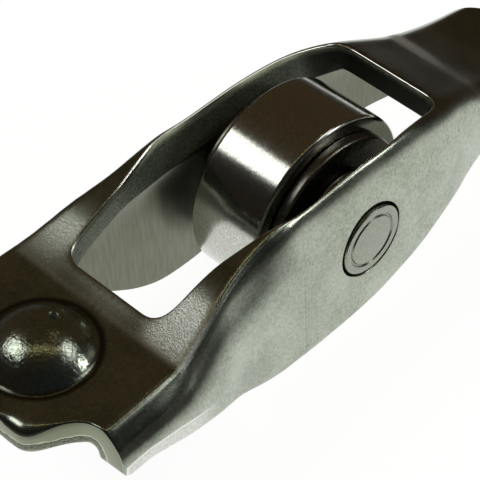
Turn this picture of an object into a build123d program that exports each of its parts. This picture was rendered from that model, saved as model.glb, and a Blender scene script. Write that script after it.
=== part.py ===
"""Roller rocker arm: one stamped steel arm, a staked pin, a needle-borne cam roller.

Millimetres. The origin is the centre of the roller axis. +X runs from the pivot
end to the valve end, +Y is the roller axis, +Z points up to the cam.
"""
import os
from build123d import *

# sheet and roller, the driving sizes
SHEET = 2.5
ROLLER_RADIUS = 8.5
ROLLER_HALF_WIDTH = 3.45
ROLLER_EDGE = 0.35
PIN_RADIUS = 3.15
PIN_HALF_LENGTH = 8.3
PIN_EDGE = 0.12
PIN_GROOVE_INNER = 2.2
PIN_GROOVE_OUTER = 2.5
PIN_GROOVE_DEPTH = 0.25
NEEDLE_COUNT = 11
NEEDLE_RADIUS = 1.15
NEEDLE_HALF_LENGTH = 3.25
NEEDLE_EDGE = 0.3
RUNNING_GAP = 0.03
BORE_EDGE = 0.4

# side washers, pressed on the pin between roller and wall
WASHER_RADIUS = 7.2
WASHER_INNER_FACE = 3.52
WASHER_OUTER_FACE = 4.45
WASHER_HUB_RADIUS = 4.2
WASHER_HUB_FACE = 5.4
WASHER_EDGE = 0.2

# arm sections: x, top height, half-width of the flat top, half-width of the wall, bend height
SECTIONS = [
    (-35.0, 4.54, 8.80, 10.60, 3.8),
    (-29.0, 4.54, 8.80, 10.60, 3.9),
    (-25.0, 4.54, 8.90, 10.60, 4.1),
    (-22.2, 4.54, 9.00, 10.50, 4.5),
    (-20.5, 4.90, 8.80, 10.20, 4.9),
    (-18.5, 5.55, 8.40, 9.72, 5.3),
    (-16.5, 6.28, 7.92, 9.22, 5.7),
    (-14.5, 6.82, 7.45, 8.78, 6.0),
    (-12.5, 7.22, 7.17, 8.48, 6.1),
    (-10.5, 7.58, 7.12, 8.30, 6.2),
    (-8.6, 7.86, 6.90, 8.22, 6.5),
    (-7.0, 8.03, 6.30, 8.22, 7.0),
    (-5.4, 8.13, 5.75, 8.24, 7.5),
    (-3.0, 8.20, 5.55, 8.27, 7.9),
    (0.0, 8.10, 5.50, 8.28, 8.0),
    (3.0, 7.75, 5.47, 8.24, 7.8),
    (6.0, 7.10, 5.40, 8.12, 7.4),
    (9.0, 6.05, 5.25, 7.85, 6.6),
    (11.5, 4.92, 5.05, 7.50, 5.6),
    (14.2, 3.60, 4.60, 6.85, 4.6),
    (16.8, 2.35, 4.20, 6.30, 3.8),
    (19.5, 1.10, 4.25, 6.20, 3.3),
    (23.0, -0.30, 4.40, 6.30, 3.1),
    (26.0, -1.20, 4.50, 6.35, 3.0),
    (31.0, -2.30, 4.50, 6.35, 3.0),
]
STATION_STEP = 1.5
SKIRT_DEPTH = -13.0
CAVITY_DEPTH = -14.0
INNER_CORNER = 0.6
ARC_WEIGHT = 0.5523
MIN_INNER_BEND = 0.8

# lower edge of both walls, x and z, from the pivot end to the valve end
FOOT_LINE = [
    (-28.6, -0.35),
    (-26.8, -0.25),
    (-24.8, -0.80),
    (-22.6, -1.60),
    (-20.1, -2.60),
    (-18.0, -3.40),
    (-16.2, -4.05),
]
BELLY_LINE = [
    (-16.2, -4.05),
    (-14.7, -4.95),
    (-12.4, -6.25),
    (-9.8, -7.10),
    (-6.0, -7.38),
    (-2.0, -7.34),
    (1.0, -7.08),
    (3.6, -6.55),
    (6.2, -5.98),
    (8.7, -5.15),
    (11.4, -4.30),
    (14.3, -3.70),
    (17.5, -3.70),
    (21.0, -4.25),
    (25.0, -5.20),
    (30.0, -6.20),
]
FOOT_END = (-29.35, 0.45)
TRIM_FLOOR = -15.0
TRIM_HALF = 14.0
TRIM_START = -40.0
TRIM_STOP = 34.0

# plan trims: pivot end corner and valve end corner, far side
TONGUE_END = -33.5
TONGUE_TRIM = [
    (-36.0, 4.3),
    (-33.5, 4.3),
    (-33.0, 5.08),
    (-30.6, 6.42),
    (-29.65, 7.3),
    (-29.3, 8.5),
    (-29.3, 16.0),
    (-36.0, 16.0),
]
TIP_END = 29.0
TIP_TRIM = [
    (32.0, 2.2),
    (29.0, 2.2),
    (28.5, 3.6),
    (27.2, 5.0),
    (24.8, 6.6),
    (24.8, 9.0),
    (32.0, 9.0),
]
TRIM_HEIGHT = 30.0

# window, half outline: x, half-width at the rim and how much narrower per millimetre down
RIM_HEIGHT = 7.2
RIM_LINE = [
    (-20.1, 4.0),
    (-19.75, 4.6),
    (-19.1, 5.0),
    (-18.0, 5.2),
    (-16.0, 5.31),
    (-14.2, 5.46),
    (-12.2, 5.85),
    (-10.0, 6.22),
    (-8.2, 6.55),
    (-6.5, 6.74),
    (-4.0, 6.80),
    (0.0, 6.76),
    (3.3, 6.80),
    (5.5, 6.68),
    (7.6, 6.40),
    (9.4, 5.98),
    (10.5, 5.45),
    (11.15, 4.75),
    (11.35, 4.0),
]
WINDOW_LEAN_START = -14.0
WINDOW_LEAN_FULL = -6.5
WINDOW_LEAN_HOLD = 5.5
WINDOW_LEAN_END = 10.5
WINDOW_LEAN = 0.55
WINDOW_LOW = 0.5
WINDOW_HIGH = 10.5

# pivot dome, socket and oil hole
DOME_X = -27.3
DOME_Z = 2.20
DOME_RADIUS = 4.94
DOME_FOOT = 4.85
DOME_FOOT_HEIGHT = 0.35
DOME_NECK = 4.2
SOCKET_RADIUS = 3.4
SOCKET_MOUTH = 3.9
SOCKET_MOUTH_DEPTH = 0.5
SOCKET_MOUTH_LAP = 0.05
SOCKET_MOUTH_BELOW = 2.0
OIL_RADIUS = 0.4
OIL_TILT = 20.0
OIL_LENGTH = 8.0
PIN_HOLE_EDGE = 3.42
PIN_HOLE_EDGE_DEPTH = 0.27
PIN_HOLE_REACH = 12.0

os.makedirs("parts", exist_ok=True)


def end_slopes(xs, values):
    """Slopes of a curve through the values that never overshoots them."""
    steps = [b - a for a, b in zip(xs, xs[1:])]
    rises = [(b - a) / step for a, b, step in zip(values, values[1:], steps)]
    slopes = [rises[0]]
    for before, after in zip(rises, rises[1:]):
        if before * after <= 0.0:
            slopes.append(0.0)
        else:
            slopes.append(2.0 * before * after / (before + after))
    slopes.append(rises[-1])
    return slopes


def value_at(xs, values, slopes, x):
    """Value of that curve at x."""
    index = 0
    while index < len(xs) - 2 and x > xs[index + 1]:
        index += 1
    step = xs[index + 1] - xs[index]
    t = (x - xs[index]) / step
    start = values[index] * (1 + 2 * t) * (1 - t) ** 2
    start_slope = slopes[index] * step * t * (1 - t) ** 2
    end = values[index + 1] * t * t * (3 - 2 * t)
    end_slope = slopes[index + 1] * step * t * t * (t - 1)
    return start + start_slope + end + end_slope


def stations(rows, step):
    """Rows resampled at an even step, ends kept."""
    xs = [row[0] for row in rows]
    columns = [[row[i] for row in rows] for i in range(1, len(rows[0]))]
    slopes = [end_slopes(xs, column) for column in columns]
    count = round((xs[-1] - xs[0]) / step)
    result = []
    for k in range(count + 1):
        x = xs[0] + (xs[-1] - xs[0]) * k / count
        values = [value_at(xs, c, m, x) for c, m in zip(columns, slopes)]
        result.append((x, *values))
    return result


def section_points(top, flat, wall, bend, depth):
    """Corner and control points of one arched section, far side first."""
    side = wall - flat
    return [
        (flat, top),
        (flat + ARC_WEIGHT * side, top),
        (wall, top - bend + ARC_WEIGHT * bend),
        (wall, top - bend),
        (wall, depth),
    ]


def mirrored(points):
    """The same points on the near side, in reverse order."""
    return [(-y, z) for y, z in reversed(points)]


def inner_values(top, flat, wall, bend):
    """Top, flat, wall and bend of the cavity under one section."""
    inner_wall = wall - SHEET
    inner_flat = min(flat - INNER_CORNER, inner_wall - INNER_CORNER)
    inner_bend = max(bend - SHEET, MIN_INNER_BEND)
    return top - SHEET, inner_flat, inner_wall, inner_bend


def lean(x):
    """How much narrower the window gets per millimetre of depth at x."""
    if x <= WINDOW_LEAN_START or x >= WINDOW_LEAN_END:
        return 0.0
    if x < WINDOW_LEAN_FULL:
        return WINDOW_LEAN * (x - WINDOW_LEAN_START) / (WINDOW_LEAN_FULL - WINDOW_LEAN_START)
    if x > WINDOW_LEAN_HOLD:
        return WINDOW_LEAN * (WINDOW_LEAN_END - x) / (WINDOW_LEAN_END - WINDOW_LEAN_HOLD)
    return WINDOW_LEAN


def window_points(height):
    """Half outline of the window at one height."""
    return [(x, y + lean(x) * (height - RIM_HEIGHT)) for x, y in RIM_LINE]


ROWS = stations(SECTIONS, STATION_STEP)

# outer shape of the arm as a solid loft
with BuildPart() as arm_outer:
    for x, top, flat, wall, bend in ROWS:
        far = section_points(top, flat, wall, bend, SKIRT_DEPTH)
        near = mirrored(far)
        with BuildSketch(Plane.YZ.offset(x)):
            with BuildLine():
                Bezier(far[0], far[1], far[2], far[3])
                Line(far[3], far[4])
                Line(far[4], near[0])
                Line(near[0], near[1])
                Bezier(near[1], near[2], near[3], near[4])
                Line(near[4], far[0])
            make_face()
    loft(ruled=True)

# hollow under the sheet as a solid loft
with BuildPart() as arm_cavity:
    for x, top, flat, wall, bend in ROWS:
        in_top, in_flat, in_wall, in_bend = inner_values(top, flat, wall, bend)
        far = section_points(in_top, in_flat, in_wall, in_bend, CAVITY_DEPTH)
        near = mirrored(far)
        with BuildSketch(Plane.YZ.offset(x)):
            with BuildLine():
                Bezier(far[0], far[1], far[2], far[3])
                Line(far[3], far[4])
                Line(far[4], near[0])
                Line(near[0], near[1])
                Bezier(near[1], near[2], near[3], near[4])
                Line(near[4], far[0])
            make_face()
    loft(ruled=True)

# window cutter, leaning inwards where the rim runs through the side bends
with BuildPart() as window_cut:
    for height in (WINDOW_LOW, WINDOW_HIGH):
        outline = window_points(height)
        other = [(x, -y) for x, y in reversed(outline)]
        with BuildSketch(Plane.XY.offset(height)):
            with BuildLine():
                Spline(*outline)
                Line(outline[-1], other[0])
                Spline(*other)
                Line(other[-1], outline[0])
            make_face()
    loft(ruled=True)

# everything below the wall edges
with BuildPart() as foot_cut:
    with BuildSketch(Plane.XZ):
        with BuildLine():
            Line((TRIM_START, TRIM_FLOOR), (TRIM_START, FOOT_END[1]))
            Line((TRIM_START, FOOT_END[1]), FOOT_END)
            Line(FOOT_END, FOOT_LINE[0])
            Spline(*FOOT_LINE)
            Spline(*BELLY_LINE)
            Line(BELLY_LINE[-1], (TRIM_STOP, BELLY_LINE[-1][1]))
            Line((TRIM_STOP, BELLY_LINE[-1][1]), (TRIM_STOP, TRIM_FLOOR))
            Line((TRIM_STOP, TRIM_FLOOR), (TRIM_START, TRIM_FLOOR))
        make_face()
    extrude(amount=TRIM_HALF, both=True)

# plan trims of both ends
with BuildPart() as plan_cut:
    for side in (1.0, -1.0):
        for trim in (TONGUE_TRIM, TIP_TRIM):
            with BuildSketch(Plane.XY.offset(-TRIM_HEIGHT / 2)):
                with BuildLine():
                    Polyline(*[(x, side * y) for x, y in trim], close=True)
                make_face()
            extrude(amount=TRIM_HEIGHT)
    for low, high in ((TRIM_START, TONGUE_END), (TIP_END, TRIM_STOP)):
        with Locations(((low + high) / 2, 0.0, 0.0)):
            Box(high - low, 2 * TRIM_HALF, TRIM_HEIGHT)

# arm body: one stamped piece
with BuildPart() as arm_body:
    add(arm_outer.part)
    add(arm_cavity.part, mode=Mode.SUBTRACT)
    add(foot_cut.part, mode=Mode.SUBTRACT)
    add(plan_cut.part, mode=Mode.SUBTRACT)
    add(window_cut.part, mode=Mode.SUBTRACT)
    # dome with a short flared foot
    with Locations((DOME_X, 0.0, DOME_Z)):
        Sphere(DOME_RADIUS, arc_size1=0.0, align=(Align.CENTER, Align.CENTER, Align.MIN))
    with BuildSketch(Plane.XZ):
        with BuildLine():
            Polyline(
                (DOME_X, SECTIONS[1][1] - DOME_FOOT_HEIGHT),
                (DOME_X + DOME_FOOT, SECTIONS[1][1] - DOME_FOOT_HEIGHT),
                (DOME_X + DOME_FOOT, SECTIONS[1][1]),
                (DOME_X + DOME_NECK, SECTIONS[1][1] + DOME_FOOT_HEIGHT),
                (DOME_X, SECTIONS[1][1] + DOME_FOOT_HEIGHT),
                close=True,
            )
        make_face()
    revolve(axis=Axis((DOME_X, 0.0, 0.0), (0.0, 0.0, 1.0)))
    # socket from below with a flared mouth
    with Locations((DOME_X, 0.0, DOME_Z)):
        Sphere(SOCKET_RADIUS, mode=Mode.SUBTRACT)
    with BuildSketch(Plane.XZ):
        with BuildLine():
            Polyline(
                (DOME_X, SECTIONS[1][1] - SHEET - SOCKET_MOUTH_BELOW),
                (DOME_X + SOCKET_MOUTH, SECTIONS[1][1] - SHEET - SOCKET_MOUTH_BELOW),
                (DOME_X + SOCKET_MOUTH, SECTIONS[1][1] - SHEET),
                (
                    DOME_X + SOCKET_RADIUS - SOCKET_MOUTH_LAP,
                    SECTIONS[1][1] - SHEET + SOCKET_MOUTH_DEPTH,
                ),
                (DOME_X, SECTIONS[1][1] - SHEET + SOCKET_MOUTH_DEPTH),
                close=True,
            )
        make_face()
    revolve(axis=Axis((DOME_X, 0.0, 0.0), (0.0, 0.0, 1.0)), mode=Mode.SUBTRACT)
    # oil hole, tilted towards the roller
    with Locations(Location((DOME_X, 0.0, DOME_Z), (0.0, OIL_TILT, 0.0))):
        Cylinder(OIL_RADIUS, OIL_LENGTH, align=(Align.CENTER, Align.CENTER, Align.MIN), mode=Mode.SUBTRACT)
    # pin holes through both walls with chamfered mouths
    with Locations(Location((0.0, 0.0, 0.0), (90.0, 0.0, 0.0))):
        Cylinder(PIN_RADIUS, 2 * PIN_HOLE_REACH, mode=Mode.SUBTRACT)
    for side in (1.0, -1.0):
        with BuildSketch(Plane.XY):
            with BuildLine():
                Polyline(
                    (0.0, side * (PIN_HALF_LENGTH - PIN_HOLE_EDGE_DEPTH)),
                    (PIN_RADIUS, side * (PIN_HALF_LENGTH - PIN_HOLE_EDGE_DEPTH)),
                    (PIN_HOLE_EDGE, side * PIN_HALF_LENGTH),
                    (PIN_HOLE_EDGE, side * PIN_HOLE_REACH),
                    (0.0, side * PIN_HOLE_REACH),
                    close=True,
                )
            make_face()
        revolve(axis=Axis.Y, mode=Mode.SUBTRACT)

arm_body.part.label = "arm_body"
export_step(arm_body.part, "parts/arm_body.step")

# cam roller: outer ring of the needle bearing
with BuildPart() as cam_roller:
    with Locations(Location((0.0, 0.0, 0.0), (90.0, 0.0, 0.0))):
        Cylinder(ROLLER_RADIUS, 2 * ROLLER_HALF_WIDTH)
    chamfer(cam_roller.edges().filter_by(GeomType.CIRCLE), length=ROLLER_EDGE)
    race = PIN_RADIUS + 2 * NEEDLE_RADIUS + 2 * RUNNING_GAP
    with Locations(Location((0.0, 0.0, 0.0), (90.0, 0.0, 0.0))):
        Cylinder(race, 2 * ROLLER_HALF_WIDTH, mode=Mode.SUBTRACT)
    chamfer(
        cam_roller.edges().filter_by(GeomType.CIRCLE).sort_by(SortBy.RADIUS)[0:2],
        length=BORE_EDGE,
    )

cam_roller.part.label = "cam_roller"
export_step(cam_roller.part, "parts/cam_roller.step")

# roller pin, staked at both ends
with BuildPart() as roller_pin:
    with Locations(Location((0.0, 0.0, 0.0), (90.0, 0.0, 0.0))):
        Cylinder(PIN_RADIUS, 2 * PIN_HALF_LENGTH)
    chamfer(roller_pin.edges().filter_by(GeomType.CIRCLE), length=PIN_EDGE)
    for side in (1.0, -1.0):
        with BuildSketch(Plane.XZ.offset(-side * PIN_HALF_LENGTH)):
            Circle(PIN_GROOVE_OUTER)
            Circle(PIN_GROOVE_INNER, mode=Mode.SUBTRACT)
        extrude(amount=side * PIN_GROOVE_DEPTH, mode=Mode.SUBTRACT)

roller_pin.part.label = "roller_pin"
export_step(roller_pin.part, "parts/roller_pin.step")

# near side washer
with BuildPart() as washer_near:
    with BuildSketch(Plane.XY):
        with BuildLine():
            Polyline(
                (PIN_RADIUS, -WASHER_INNER_FACE),
                (WASHER_RADIUS - WASHER_EDGE, -WASHER_INNER_FACE),
                (WASHER_RADIUS, -WASHER_INNER_FACE - WASHER_EDGE),
                (WASHER_RADIUS, -WASHER_OUTER_FACE + WASHER_EDGE),
                (WASHER_RADIUS - WASHER_EDGE, -WASHER_OUTER_FACE),
                (WASHER_HUB_RADIUS, -WASHER_OUTER_FACE),
                (WASHER_HUB_RADIUS, -WASHER_HUB_FACE),
                (PIN_RADIUS, -WASHER_HUB_FACE),
                close=True,
            )
        make_face()
    revolve(axis=Axis.Y)

washer_near.part.label = "washer_near"
export_step(washer_near.part, "parts/washer_near.step")

# far side washer
with BuildPart() as washer_far:
    with BuildSketch(Plane.XY):
        with BuildLine():
            Polyline(
                (PIN_RADIUS, WASHER_INNER_FACE),
                (WASHER_RADIUS - WASHER_EDGE, WASHER_INNER_FACE),
                (WASHER_RADIUS, WASHER_INNER_FACE + WASHER_EDGE),
                (WASHER_RADIUS, WASHER_OUTER_FACE - WASHER_EDGE),
                (WASHER_RADIUS - WASHER_EDGE, WASHER_OUTER_FACE),
                (WASHER_HUB_RADIUS, WASHER_OUTER_FACE),
                (WASHER_HUB_RADIUS, WASHER_HUB_FACE),
                (PIN_RADIUS, WASHER_HUB_FACE),
                close=True,
            )
        make_face()
    revolve(axis=Axis.Y)

washer_far.part.label = "washer_far"
export_step(washer_far.part, "parts/washer_far.step")

# needle rollers, a full ring between pin and roller
PITCH_RADIUS = PIN_RADIUS + RUNNING_GAP + NEEDLE_RADIUS
NEEDLE_STEP = 360.0 / NEEDLE_COUNT
for index in range(NEEDLE_COUNT):
    seat = Rotation(0.0, index * NEEDLE_STEP, 0.0) * Pos(PITCH_RADIUS, 0.0, 0.0)
    with BuildPart() as needle:
        with Locations(seat * Rotation(90.0, 0.0, 0.0)):
            Cylinder(NEEDLE_RADIUS, 2 * NEEDLE_HALF_LENGTH)
        fillet(needle.edges().filter_by(GeomType.CIRCLE), radius=NEEDLE_EDGE)
    needle.part.label = "needle_%02d" % (index + 1)
    export_step(needle.part, "parts/needle_%02d.step" % (index + 1))
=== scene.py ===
"""Roller rocker arm: stamped arm, cam roller on a staked pin, side washers, needle ring.

The frame is in metres. Sizes below are in millimetres and are scaled by MM when a
mesh is made. +X runs from the pivot end to the valve end, +Y along the roller pin,
+Z up to the cam.
"""
import math
import bpy
import numpy as np
from mathutils import Matrix, Vector
from mathutils.geometry import delaunay_2d_cdt
from mathutils.kdtree import KDTree


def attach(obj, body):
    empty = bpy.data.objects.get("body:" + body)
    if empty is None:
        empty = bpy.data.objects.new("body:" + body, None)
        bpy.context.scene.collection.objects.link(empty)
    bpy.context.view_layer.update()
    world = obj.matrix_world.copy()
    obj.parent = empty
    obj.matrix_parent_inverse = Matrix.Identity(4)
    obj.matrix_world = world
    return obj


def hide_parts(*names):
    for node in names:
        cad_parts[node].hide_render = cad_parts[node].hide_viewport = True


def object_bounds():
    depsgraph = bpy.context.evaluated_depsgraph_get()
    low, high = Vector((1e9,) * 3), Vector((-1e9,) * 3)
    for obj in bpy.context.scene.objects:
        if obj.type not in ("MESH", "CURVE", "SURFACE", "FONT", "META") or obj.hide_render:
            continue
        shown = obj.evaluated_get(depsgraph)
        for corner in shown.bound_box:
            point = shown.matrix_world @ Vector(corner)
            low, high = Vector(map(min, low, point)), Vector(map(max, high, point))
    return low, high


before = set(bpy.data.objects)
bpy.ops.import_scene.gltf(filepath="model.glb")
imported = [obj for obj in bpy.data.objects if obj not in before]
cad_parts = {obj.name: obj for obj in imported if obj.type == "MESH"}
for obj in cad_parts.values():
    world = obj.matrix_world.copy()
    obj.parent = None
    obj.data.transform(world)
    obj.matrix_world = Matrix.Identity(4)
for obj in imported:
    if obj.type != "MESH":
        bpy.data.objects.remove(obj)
cad_low, cad_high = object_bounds()

MM = 0.001
scene = bpy.context.scene

# ---------------------------------------------------------------- sheet sizes

SHEET = 2.5
INNER_CORNER = 0.6
MIN_INNER_BEND = 0.8
INNER_FULLNESS = 0.55

# x, top height, half-width of the flat top, half-width of the wall, bend height, bend fullness,
# fold angle at the edge of the flat top in degrees
SECTIONS = [
    (-35.0, 4.54, 8.95, 10.60, 3.35, 0.85, 42.0),
    (-29.0, 4.54, 8.95, 10.60, 3.35, 0.85, 43.0),
    (-25.0, 4.54, 8.95, 10.60, 3.5, 0.80, 45.0),
    (-22.2, 4.54, 8.90, 10.50, 3.9, 0.70, 50.0),
    (-20.5, 4.90, 8.60, 10.20, 4.6, 0.62, 56.0),
    (-18.5, 5.55, 8.20, 9.72, 5.3, 0.60, 57.0),
    (-16.5, 6.28, 7.75, 9.22, 5.7, 0.60, 57.0),
    (-14.5, 6.82, 7.25, 8.78, 5.7, 0.58, 54.0),
    (-12.5, 7.22, 6.90, 8.48, 5.3, 0.55, 46.0),
    (-10.5, 7.58, 6.70, 8.30, 4.9, 0.52, 32.0),
    (-8.6, 7.86, 6.50, 8.22, 5.0, 0.50, 16.0),
    (-7.0, 8.03, 6.15, 8.22, 6.4, 0.52, 4.0),
    (-5.4, 8.13, 5.75, 8.24, 7.5, 0.55, 0.0),
    (-3.0, 8.20, 5.55, 8.27, 7.9, 0.55, 0.0),
    (0.0, 8.10, 5.50, 8.28, 8.0, 0.55, 0.0),
    (3.0, 7.75, 5.47, 8.24, 7.8, 0.55, 0.0),
    (6.0, 7.10, 5.40, 8.12, 7.4, 0.55, 0.0),
    (9.0, 6.05, 5.25, 7.85, 6.6, 0.55, 0.0),
    (11.5, 4.92, 5.05, 7.50, 5.6, 0.55, 0.0),
    (14.2, 3.60, 4.60, 6.85, 4.6, 0.55, 0.0),
    (16.8, 2.35, 4.20, 6.30, 3.8, 0.55, 0.0),
    (19.5, 1.10, 4.25, 6.20, 3.3, 0.55, 0.0),
    (23.0, -0.30, 4.40, 6.30, 3.1, 0.55, 0.0),
    (26.0, -1.20, 4.50, 6.35, 3.0, 0.55, 0.0),
    (31.0, -2.30, 4.50, 6.35, 3.0, 0.55, 0.0),
]
PLATE_TOP = SECTIONS[0][1]
TABLE_STEP = 0.1
FOLD_SOFTNESS = 0.5
CREASE_SOFTNESS = 0.48
CREASE_SHIFTS = (-1.0, -0.67, -0.33, 0.0, 0.33, 0.67, 1.0)
CREASE_WEIGHTS = (0.07, 0.14, 0.18, 0.22, 0.18, 0.14, 0.07)
ACROSS_LIMIT = 34.0
HALVINGS = 40

# lower edge of both walls, x and z
FOOT_LINE = [
    (-28.6, -0.35), (-26.8, -0.25), (-24.8, -0.80), (-22.6, -1.60), (-20.1, -2.60),
    (-18.0, -3.40), (-16.2, -4.05), (-14.7, -4.95), (-12.4, -6.25), (-9.8, -7.10),
    (-6.0, -7.38), (-2.0, -7.34), (1.0, -7.08), (3.6, -6.55), (6.2, -5.98),
    (8.7, -5.15), (11.4, -4.30), (14.3, -3.70), (17.5, -3.70), (21.0, -4.25),
    (25.0, -5.20), (30.0, -6.20),
]
WALL_END_HEIGHT = 0.45

# plan trims of both ends: half-width and the x of the cut there, and where the walls begin
TONGUE_TRIM = [(0.0, -33.5), (4.3, -33.5), (5.08, -33.0), (6.42, -30.6),
               (7.3, -29.65), (8.5, -29.3), (16.0, -29.3)]
TIP_TRIM = [(0.0, 29.0), (2.2, 29.0), (3.6, 28.5), (5.0, 27.2), (6.6, 24.8), (9.0, 24.8)]
TONGUE_FLAT = 7.2
TIP_FLAT = 3.15
TIP_BLEND_START = 19.0
PIVOT_WALL_X = -29.0
TIP_WALL_X = 27.0
END_CUT_POINTS = 40
END_CUT_ROUNDS = 30

# window rim, x and half-width, and how much the cut leans inwards
RIM_HEIGHT = 7.2
RIM_THICK = 2.7
VALVE_END_UNDERCUT = 0.45
UNDERCUT_RUN = (8.0, 10.2)
WINDOW_END_POINTS = 20
RIM_LINE = [
    (-20.1, 4.0), (-19.75, 4.6), (-19.1, 5.0), (-18.0, 5.2), (-16.0, 5.31),
    (-14.2, 5.46), (-12.2, 5.85), (-10.0, 6.22), (-8.2, 6.55), (-6.5, 6.74),
    (-4.0, 6.80), (0.0, 6.76), (3.3, 6.80), (5.5, 6.68), (7.6, 6.40), (9.4, 5.98),
    (10.5, 5.45), (11.15, 4.75), (11.35, 4.0),
]
LEAN_X = [-14.0, -6.5, 5.5, 10.5]
LEAN = [0.0, 0.55, 0.55, 0.0]

# dome, socket, oil hole
DOME_X = -27.3
DOME_Z = 2.20
DOME_RADIUS = 4.94
DOME_FILLET = 0.85
SOCKET_RADIUS = 3.4
SOCKET_MOUTH = 3.9
SOCKET_MOUTH_DEPTH = 0.5
OIL_RADIUS = 0.4
OIL_TILT = math.radians(20.0)

# roller, pin, washers, needles
ROLLER_RADIUS = 8.5
ROLLER_HALF_WIDTH = 3.45
ROLLER_EDGE = 0.35
RACE_RADIUS = 5.51
BORE_EDGE = 0.4
PIN_RADIUS = 3.15
PIN_HALF_LENGTH = 8.3
PIN_HOLE_MOUTH = 3.40
WASHER_RADIUS = 7.2
WASHER_INNER_FACE = 3.52
WASHER_OUTER_FACE = 4.45
WASHER_HUB_RADIUS = 4.2
WASHER_HUB_FACE = 5.4
NEEDLE_COUNT = 11
NEEDLE_RADIUS = 1.15
NEEDLE_HALF_LENGTH = 3.25
NEEDLE_EDGE = 0.3
NEEDLE_SIDES = 32
PITCH_RADIUS = 4.33

# pressed band along the foot of both walls, x and z of its top
FOOT_BAND_TOP = [
    (-30.0, 1.10), (-28.4, 1.23), (-27.0, 1.27), (-25.3, 1.03), (-23.7, 0.72),
    (-22.0, 0.21), (-20.0, -0.70), (-17.0, -2.2),
]
FOOT_BAND_START = -28.95
FOOT_BAND_FADE = (-21.5, -16.5)
FOOT_BAND_SLOPE = 0.13
FOOT_BAND_SOFTNESS = 0.01

# edge rounding: the die roll of the outer face and the small burr of the inner one
DIE_ROLL = 0.20
WINDOW_ROLL = 0.26
HOLE_ROLL = 0.14
ROLL_DEPTH = 0.75
ROLL_DEPTH_LIMIT = 0.35
BURR_ROUND = 0.08
END_FACE = (-29.0, -28.0)
TONGUE_ROLL = 0.95
TONGUE_ROLL_RISE = (1.6, 3.4)
TONGUE_ROLL_FALL = (4.7, 6.4)
CORNER_ROLL = 0.10
CORNER_RISE = (9.0, 10.5)

# painted shade on the cuts, in the holes and under the bridge at the valve end of the window
WINDOW_SHADE = 0.34
PIVOT_END_SHADE = 0.25
PIN_HOLE_SHADE = 0.3
OIL_HOLE_SHADE = 0.8
VALVE_END_RISE = (5.5, 8.5)
PIVOT_END_FALL = (-19.5, -17.0)
BRIDGE_RISE = (7.5, 9.0)
BRIDGE_FALL = (14.0, 17.0)
BRIDGE_HALF_WIDTH = 4.0

# edges of the sheet in the order in which they are built; two pin holes come before the last
OUTLINE, WINDOW, OIL_HOLE = 0, 1, 4
# rings of the window's rounded outer edge that carry a painted highlight
HIGHLIGHT_RINGS = (1, 2)

# mesh fineness
GRID = 0.40
GRID_X = (-34.0, 29.5)
GRID_ACROSS = (-27.0, 27.0)
LOOP_STEP = 0.30
OUTLINE_ROUNDS = 5
WINDOW_ROUNDS = 3
INSET_ROUNDS = 60
SHORTEST_STEP = 0.25
INSET_SHRINK = 0.85
EDGE_RINGS = 4
CUT_RINGS = 4
PIN_HOLE_POINTS = 96
OIL_HOLE_POINTS = 28
DOME_REACH = 5.2
DOME_RINGS = np.concatenate([
    np.arange(0.45, 3.3, 0.35), [3.36, 3.42, 3.65, 3.9], np.arange(4.0, DOME_REACH, 0.14),
])
DOME_RING_STEP = 0.36
FEWEST_RING_POINTS = 8

# ---------------------------------------------------------------- sheet shape

def monotone(xs, values, x):
    """A smooth curve through the values that never overshoots them."""
    xs = np.asarray(xs, float)
    values = np.asarray(values, float)
    steps = np.diff(xs)
    rises = np.diff(values) / steps
    before, after = rises[:-1], rises[1:]
    same_way = before * after > 0.0
    total = np.where(same_way, before + after, 1.0)
    middle = np.where(same_way, 2.0 * before * after / total, 0.0)
    slopes = np.concatenate([rises[:1], middle, rises[-1:]])
    index = np.clip(np.searchsorted(xs, x, side="right") - 1, 0, len(xs) - 2)
    step = steps[index]
    t = (x - xs[index]) / step
    start = values[index] * (1 + 2 * t) * (1 - t) ** 2
    start_slope = slopes[index] * step * t * (1 - t) ** 2
    end = values[index + 1] * t * t * (3 - 2 * t)
    end_slope = slopes[index + 1] * step * t * t * (t - 1)
    return start + start_slope + end + end_slope


def softened(values, width):
    """The values blurred over that many millimetres of the table."""
    reach = int(4 * width / TABLE_STEP)
    offsets = np.arange(-reach, reach + 1) * TABLE_STEP
    weights = np.exp(-0.5 * (offsets / width) ** 2)
    padded = np.pad(values, reach, mode="reflect", reflect_type="odd")
    return np.convolve(padded, weights / weights.sum(), mode="valid")


TABLE_X = np.arange(SECTIONS[0][0], SECTIONS[-1][0] + TABLE_STEP / 2, TABLE_STEP)
SECTION_COLUMNS = list(zip(*SECTIONS))
ARCH_TABLE = [
    softened(monotone(SECTION_COLUMNS[0], column, TABLE_X), FOLD_SOFTNESS)
    for column in SECTION_COLUMNS[1:]
]
BEND_STEPS = np.linspace(0.0, 1.0, 25)


def arch(x, face):
    """Top, flat, wall, bend, fullness and fold angle of the outer or inner arch at x."""
    top, flat, wall, bend, full, fold = (np.interp(x, TABLE_X, column) for column in ARCH_TABLE)
    if face == "outer":
        return top, flat, wall, bend, full, fold
    inner_wall = wall - SHEET
    inner_flat = np.minimum(flat - INNER_CORNER, inner_wall - INNER_CORNER)
    inner_bend = np.maximum(bend - SHEET, MIN_INNER_BEND)
    inner_full = np.full_like(full, INNER_FULLNESS)
    return top - SHEET, inner_flat, inner_wall, inner_bend, inner_full, 0.0 * fold


def bend_point(top, flat, wall, bend, full, fold, t):
    """Half-width and height along the rounded shoulder, t from 0 to 1."""
    side = wall - flat
    a, b, c, d = (1 - t) ** 3, 3 * t * (1 - t) ** 2, 3 * t * t * (1 - t), t ** 3
    y = a * flat + b * (flat + full * side) + (c + d) * wall
    corner = np.minimum(side * np.tan(np.radians(fold)), bend)
    z = top - b * full * corner - c * (bend - full * (bend - corner)) - d * bend
    return y, z


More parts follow.
